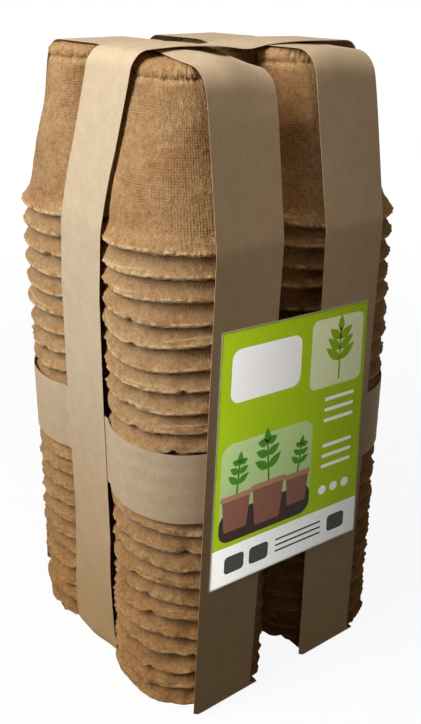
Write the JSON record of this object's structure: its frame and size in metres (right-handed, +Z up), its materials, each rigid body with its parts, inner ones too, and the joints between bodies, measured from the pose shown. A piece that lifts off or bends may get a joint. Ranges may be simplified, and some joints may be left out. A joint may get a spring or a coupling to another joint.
{
  "type": "banded pack of peat pots",
  "caption": "Round tapered fibre pots nested mouth down in four stacks, tied by upright and waist paper bands with a flat label card.",
  "frame": {"origin": "middle of the base, on the surface that the pack stands on", "axes": "+Z up along the stacks, +X towards the label card, +Y towards the right-hand stacks as the picture shows them"},
  "size_m": [0.1221, 0.121, 0.2454],
  "materials": {
    "fibre_pulp": "matte",
    "kraft_paper": "matte",
    "printed_card": "satin"
  },
  "bodies": {
    "root": {"back_pot_01": "fibre_pulp", "back_pot_24": "fibre_pulp", "back_pots_02_03": "fibre_pulp", "back_pots_04_05": "fibre_pulp", "back_pots_06_07": "fibre_pulp", "back_pots_08_09": "fibre_pulp", "back_pots_10_11": "fibre_pulp", "back_pots_12_13": "fibre_pulp", "back_pots_14_15": "fibre_pulp", "back_pots_16_17": "fibre_pulp", "back_pots_18_19": "fibre_pulp", "back_pots_20_21": "fibre_pulp", "back_pots_22_23": "fibre_pulp", "cross_band": "kraft_paper", "far_side_band": "kraft_paper", "front_pot_01": "fibre_pulp", "front_pot_24": "fibre_pulp", "front_pots_02_03": "fibre_pulp", "front_pots_04_05": "fibre_pulp", "front_pots_06_07": "fibre_pulp", "front_pots_08_09": "fibre_pulp", "front_pots_10_11": "fibre_pulp", "front_pots_12_13": "fibre_pulp", "front_pots_14_15": "fibre_pulp", "front_pots_16_17": "fibre_pulp", "front_pots_18_19": "fibre_pulp", "front_pots_20_21": "fibre_pulp", "front_pots_22_23": "fibre_pulp", "label_card": "printed_card", "left_pot_01": "fibre_pulp", "left_pot_24": "fibre_pulp", "left_pots_02_03": "fibre_pulp", "left_pots_04_05": "fibre_pulp", "left_pots_06_07": "fibre_pulp", "left_pots_08_09": "fibre_pulp", "left_pots_10_11": "fibre_pulp", "left_pots_12_13": "fibre_pulp", "left_pots_14_15": "fibre_pulp", "left_pots_16_17": "fibre_pulp", "left_pots_18_19": "fibre_pulp", "left_pots_20_21": "fibre_pulp", "left_pots_22_23": "fibre_pulp", "near_side_band": "kraft_paper", "right_pot_01": "fibre_pulp", "right_pot_24": "fibre_pulp", "right_pots_02_03": "fibre_pulp", "right_pots_04_05": "fibre_pulp", "right_pots_06_07": "fibre_pulp", "right_pots_08_09": "fibre_pulp", "right_pots_10_11": "fibre_pulp", "right_pots_12_13": "fibre_pulp", "right_pots_14_15": "fibre_pulp", "right_pots_16_17": "fibre_pulp", "right_pots_18_19": "fibre_pulp", "right_pots_20_21": "fibre_pulp", "right_pots_22_23": "fibre_pulp", "waist_band": "kraft_paper"}
  },
  "joints": []
}
